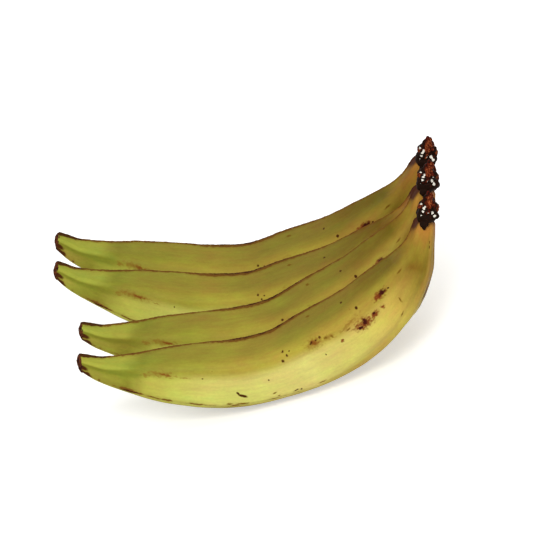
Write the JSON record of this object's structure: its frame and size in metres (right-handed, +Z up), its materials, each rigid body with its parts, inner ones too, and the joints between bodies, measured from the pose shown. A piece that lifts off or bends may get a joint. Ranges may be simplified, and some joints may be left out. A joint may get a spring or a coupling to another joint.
{
  "type": "hand of baby bananas",
  "caption": "Hand of small slender bananas joined side by side at a dark dried crown, lying on its bellies as it rests on a table.",
  "frame": {"origin": "on the table, under the middle of the hand's box", "axes": "+X towards the crown, -Y towards the front banana, +Z up"},
  "size_m": [0.1324, 0.0956, 0.0542],
  "materials": {
    "peel": "waxy satin peel, green at the tips and yellow on the bellies",
    "dried_flower": "dry rough brown flower remnant",
    "dried_crown": "knobbly blackened tissue, glossy in places, with red-brown fibres"
  },
  "bodies": {
    "root": {"banana_1": "peel", "banana_2": "peel", "banana_3": "peel", "banana_4": "peel", "blossom_end_1": "dried_flower", "blossom_end_2": "dried_flower", "blossom_end_3": "dried_flower", "blossom_end_4": "dried_flower", "crown": "dried_crown"}
  },
  "joints": []
}
